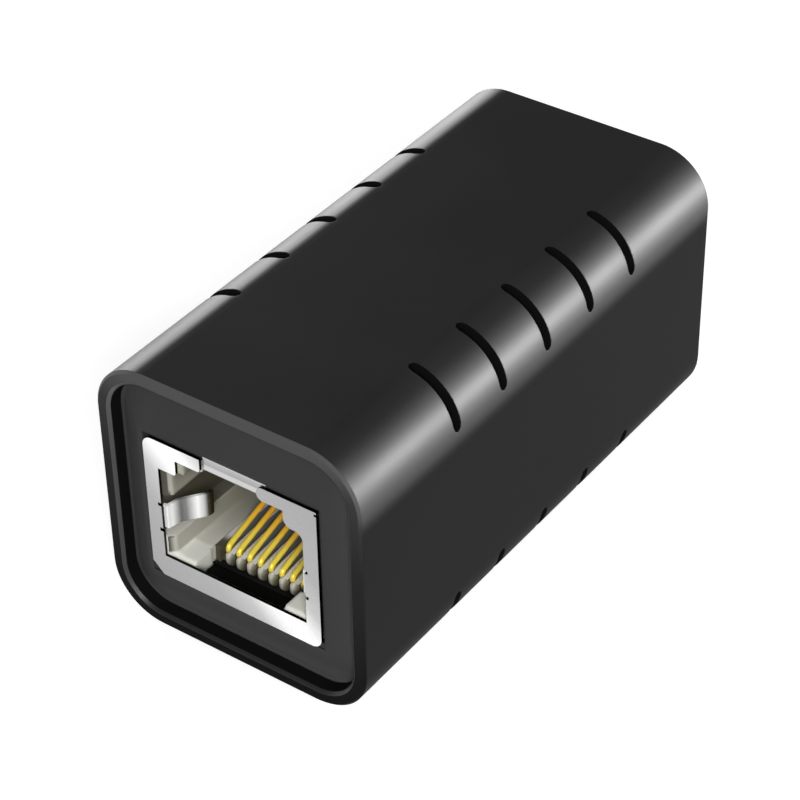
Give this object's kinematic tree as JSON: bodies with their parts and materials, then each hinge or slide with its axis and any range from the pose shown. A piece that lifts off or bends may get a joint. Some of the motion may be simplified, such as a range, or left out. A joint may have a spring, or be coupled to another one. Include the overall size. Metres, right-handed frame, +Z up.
{
  "type": "rj45 inline coupler",
  "caption": "Square black sleeve with a shielded modular jack at each end, joined by a board inside, to connect two network cables in line; slots along its long corner edges.",
  "frame": {"origin": "middle of the underside, level with what the coupler lies on", "axes": "+Y from the front port to the rear port, +X to the right seen from the front, +Z up, on the latch side of the ports"},
  "size_m": [0.024, 0.048, 0.024],
  "materials": {
    "sleeve_plastic": "satin black moulded plastic",
    "bezel_plastic": "matte dark grey moulded plastic",
    "nickel_sheet": "bright nickel-plated sheet",
    "ivory_plastic": "ivory grey moulded plastic",
    "comb_plastic": "ivory moulded plastic",
    "gold_wire": "gold-plated spring wire",
    "board_laminate": "black solder resist on glass laminate"
  },
  "bodies": {
    "root": {"sleeve": "sleeve_plastic", "circuit_board": "board_laminate", "front_bezel": "bezel_plastic", "front_jack_shield": "nickel_sheet", "front_jack_housing": "ivory_plastic", "front_contact_carrier": "comb_plastic", "front_contact_1": "gold_wire", "front_contact_2": "gold_wire", "front_contact_3": "gold_wire", "front_contact_4": "gold_wire", "front_contact_5": "gold_wire", "front_contact_6": "gold_wire", "front_contact_7": "gold_wire", "front_contact_8": "gold_wire", "rear_bezel": "bezel_plastic", "rear_jack_shield": "nickel_sheet", "rear_jack_housing": "ivory_plastic", "rear_contact_carrier": "comb_plastic", "rear_contact_1": "gold_wire", "rear_contact_2": "gold_wire", "rear_contact_3": "gold_wire", "rear_contact_4": "gold_wire", "rear_contact_5": "gold_wire", "rear_contact_6": "gold_wire", "rear_contact_7": "gold_wire", "rear_contact_8": "gold_wire"}
  },
  "joints": []
}
